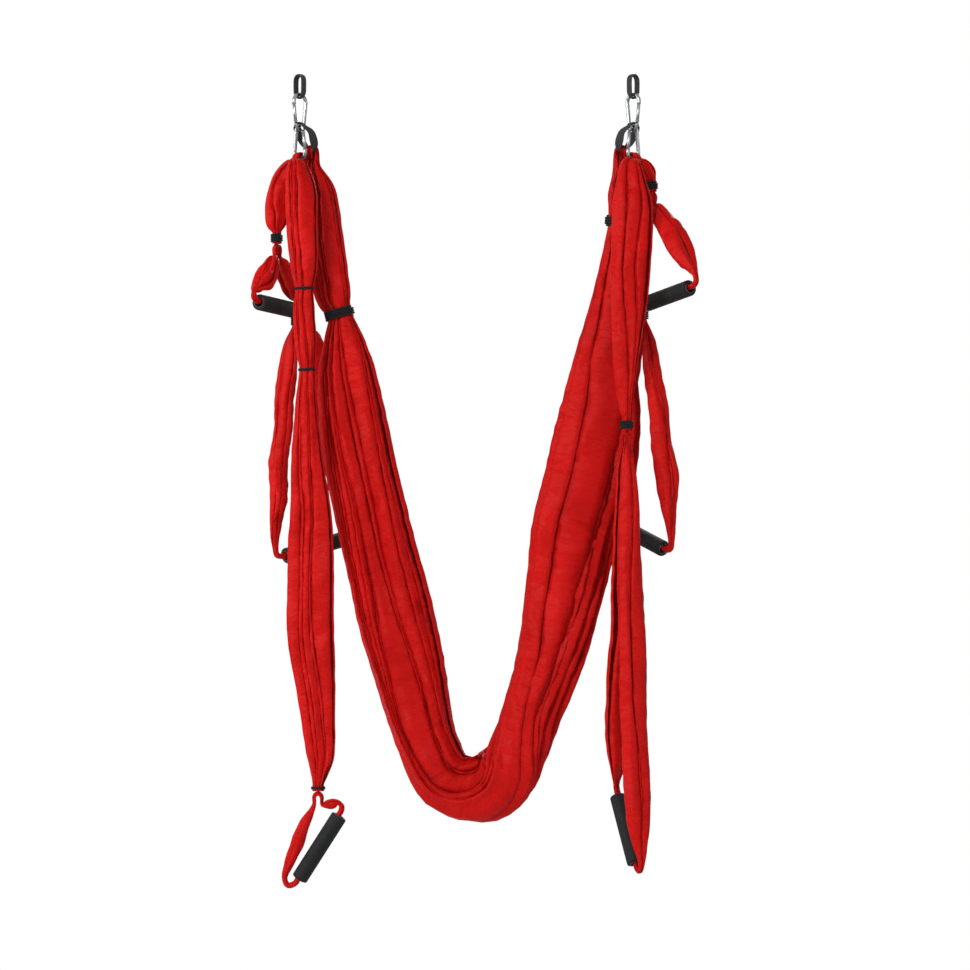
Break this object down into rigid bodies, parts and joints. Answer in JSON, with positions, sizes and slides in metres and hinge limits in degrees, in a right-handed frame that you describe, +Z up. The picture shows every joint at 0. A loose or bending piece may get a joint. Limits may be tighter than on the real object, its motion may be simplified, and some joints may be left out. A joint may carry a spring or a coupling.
{
  "type": "aerial hammock",
  "caption": "Red aerial yoga hammock: a gathered cloth sling in a deep U with cloth hand loops and black foam grips, hung from linked snap carabiners on webbing loops.",
  "frame": {"origin": "midway between the two hang points, at the top of the webbing hanger loops' eyes", "axes": "+X from the left hang point to the right one as seen from the front, -Y to the front, +Z up"},
  "size_m": [0.7914, 0.2779, 1.4571],
  "materials": {
    "cloth": "satin",
    "webbing": "matte",
    "cord": "matte",
    "foam": "matte",
    "tube": "matte",
    "steel": "satin"
  },
  "bodies": {
    "hangers": {"hanger_loop_left": "webbing", "hanger_loop_right": "webbing"},
    "hammock": {"upper_carabiner_left": "steel", "upper_carabiner_left_pin": "steel", "lower_carabiner_left": "steel", "lower_carabiner_left_pin": "steel", "cloth_sling_left": "webbing", "upper_carabiner_right": "steel", "upper_carabiner_right_pin": "steel", "lower_carabiner_right": "steel", "lower_carabiner_right_pin": "steel", "cloth_sling_right": "webbing", "hammock_cloth": "cloth", "cloth_band_left": "cord", "outer_strap_left": "cloth", "outer_band_left": "cord", "long_strap_left": "cloth", "cloth_band_right": "cord", "outer_strap_right": "cloth", "outer_band_right": "cord", "long_strap_right": "cloth", "upper_tie_left": "cord", "middle_tie_left": "cord", "long_band_right": "cord"},
    "upper_gate_left": {"upper_gate_left": "steel"},
    "lower_gate_left": {"lower_gate_left": "steel"},
    "upper_gate_right": {"upper_gate_right": "steel"},
    "lower_gate_right": {"lower_gate_right": "steel"},
    "short_loop_left": {"short_loop_left": "cloth"},
    "medium_loop_left": {"medium_loop_left": "cloth", "junction_band_left": "cord"},
    "short_loop_right": {"short_loop_right": "cloth"},
    "medium_loop_right": {"medium_loop_right": "cloth", "junction_band_right": "cord"},
    "long_strap_lower_left": {"long_strap_lower_left": "cloth", "lower_tie_left": "cord"},
    "long_loop_left": {"long_loop_left": "cloth"},
    "long_loop_right": {"long_loop_right": "cloth"},
    "short_grip_left": {"short_grip_left_foam": "foam", "short_grip_left_tube": "tube"},
    "medium_grip_left": {"medium_grip_left_foam": "foam", "medium_grip_left_tube": "tube"},
    "long_grip_left": {"long_grip_left_foam": "foam", "long_grip_left_tube": "tube"},
    "short_grip_right": {"short_grip_right_foam": "foam", "short_grip_right_tube": "tube"},
    "medium_grip_right": {"medium_grip_right_foam": "foam", "medium_grip_right_tube": "tube"},
    "long_grip_right": {"long_grip_right_foam": "foam", "long_grip_right_tube": "tube"}
  },
  "joints": [
    {"name": "swing", "type": "hinge", "parent": "hangers", "child": "hammock", "pos_m": [0, 0, -0.0329], "axis": [1, 0, 0], "range_deg": [-20, 20]},
    {"name": "upper_gate_left_hinge", "type": "hinge", "parent": "hammock", "child": "upper_gate_left", "pos_m": [-0.30716, -0.00716, -0.08152], "axis": [-0.7071, 0.7071, 0], "range_deg": [0, 25], "stiffness_Nm_per_rad": 0.06, "springref_deg": -20.05},
    {"name": "lower_gate_left_hinge", "type": "hinge", "parent": "hammock", "child": "lower_gate_left", "pos_m": [-0.29284, -0.00716, -0.10298], "axis": [0.7071, 0.7071, 0], "range_deg": [0, 25], "stiffness_Nm_per_rad": 0.06, "springref_deg": -20.05},
    {"name": "upper_gate_right_hinge", "type": "hinge", "parent": "hammock", "child": "upper_gate_right", "pos_m": [0.30716, -0.00716, -0.08152], "axis": [-0.7071, -0.7071, 0], "range_deg": [0, 25], "stiffness_Nm_per_rad": 0.06, "springref_deg": -20.05},
    {"name": "lower_gate_right_hinge", "type": "hinge", "parent": "hammock", "child": "lower_gate_right", "pos_m": [0.29284, -0.00716, -0.10298], "axis": [0.7071, -0.7071, 0], "range_deg": [0, 25], "stiffness_Nm_per_rad": 0.06, "springref_deg": -20.05},
    {"name": "short_loop_left_hinge", "type": "hinge", "parent": "hammock", "child": "short_loop_left", "pos_m": [-0.342, 0.006, -0.3059], "axis": [0.4067, 0.9135, 0], "range_deg": [-4, 60]},
    {"name": "medium_loop_left_hinge", "type": "hinge", "parent": "short_loop_left", "child": "medium_loop_left", "pos_m": [-0.30907, 0.07996, -0.4246], "axis": [0.7431, 0.6691, 0], "range_deg": [-4, 60]},
    {"name": "short_loop_right_hinge", "type": "hinge", "parent": "hammock", "child": "short_loop_right", "pos_m": [0.334, 0.006, -0.2119], "axis": [0.5299, -0.848, 0], "range_deg": [0, 60]},
    {"name": "medium_loop_right_hinge", "type": "hinge", "parent": "short_loop_right", "child": "medium_loop_right", "pos_m": [0.31799, 0.03162, -0.41705], "axis": [0.5592, -0.829, 0], "range_deg": [0, 60]},
    {"name": "long_strap_left_hinge", "type": "hinge", "parent": "hammock", "child": "long_strap_lower_left", "pos_m": [-0.2838, -0.052, -0.5434], "axis": [-1, 0, 0], "range_deg": [-5, 60]},
    {"name": "long_loop_left_hinge", "type": "hinge", "parent": "long_strap_lower_left", "child": "long_loop_left", "pos_m": [-0.2638, -0.052, -1.2857], "axis": [-1, 0, 0], "range_deg": [-30, 60]},
    {"name": "long_loop_right_hinge", "type": "hinge", "parent": "hammock", "child": "long_loop_right", "pos_m": [0.286, -0.052, -0.6439], "axis": [-0.3907, 0.9205, 0], "range_deg": [-8, 45]},
    {"name": "short_grip_left_spin", "type": "hinge", "parent": "short_loop_left", "child": "short_grip_left", "pos_m": [-0.34205, 0.00589, -0.41414], "axis": [0.4062, 0.9123, -0.0523], "continuous": true},
    {"name": "medium_grip_left_spin", "type": "hinge", "parent": "medium_loop_left", "child": "medium_grip_left", "pos_m": [-0.28197, 0.10436, -0.85179], "axis": [0.7269, 0.6545, 0.2079], "continuous": true},
    {"name": "long_grip_left_spin", "type": "hinge", "parent": "long_loop_left", "child": "long_grip_left", "pos_m": [-0.26191, -0.052, -1.3819], "axis": [0.5373, 0, 0.8434], "continuous": true},
    {"name": "short_grip_right_spin", "type": "hinge", "parent": "short_loop_right", "child": "short_grip_right", "pos_m": [0.36068, -0.0367, -0.39812], "axis": [-0.5234, 0.8376, -0.1564], "continuous": true},
    {"name": "medium_grip_right_spin", "type": "hinge", "parent": "medium_loop_right", "child": "medium_grip_right", "pos_m": [0.31762, 0.03216, -0.83119], "axis": [-0.5348, 0.7928, 0.2924], "continuous": true},
    {"name": "long_grip_right_spin", "type": "hinge", "parent": "long_loop_right", "child": "long_grip_right", "pos_m": [0.28526, -0.05026, -1.35011], "axis": [-0.2099, 0.4946, 0.8434], "continuous": true}
  ]
}
